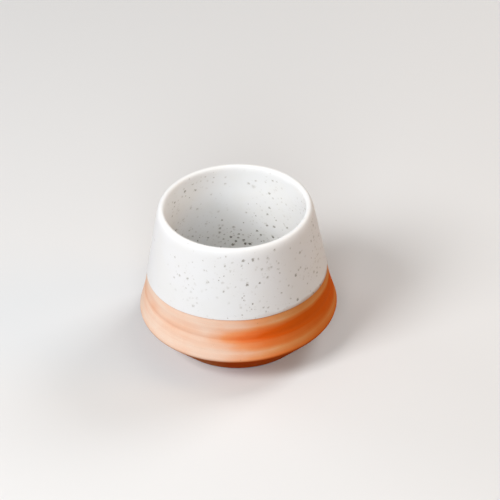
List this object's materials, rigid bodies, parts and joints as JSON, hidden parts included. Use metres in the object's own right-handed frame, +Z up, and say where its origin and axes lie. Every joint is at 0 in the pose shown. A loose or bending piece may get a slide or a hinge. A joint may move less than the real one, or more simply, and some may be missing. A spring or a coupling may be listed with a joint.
{
  "type": "handleless mug",
  "caption": "Small handleless ceramic cup with a conical wall that narrows to a rounded lip, white speckled glaze above a bare terracotta skirt, and a shoulder undercut to a trimmed foot.",
  "frame": {"origin": "centre of the foot, on the surface that the cup stands on", "axes": "+Z up along the cup's axis of turning; the cup is round, so +X and +Y are free"},
  "size_m": [0.0898, 0.0898, 0.067],
  "materials": {
    "terracotta": "bare fired terracotta, matt, with turning lines and flashed bands",
    "liner_glaze": "satin white glaze with fine iron specks",
    "outer_glaze": "satin white glaze with fine iron specks, brown where it thins at its lower edge"
  },
  "bodies": {
    "root": {"clay_body": "terracotta", "liner_glaze": "liner_glaze", "outer_glaze": "outer_glaze"}
  },
  "joints": []
}
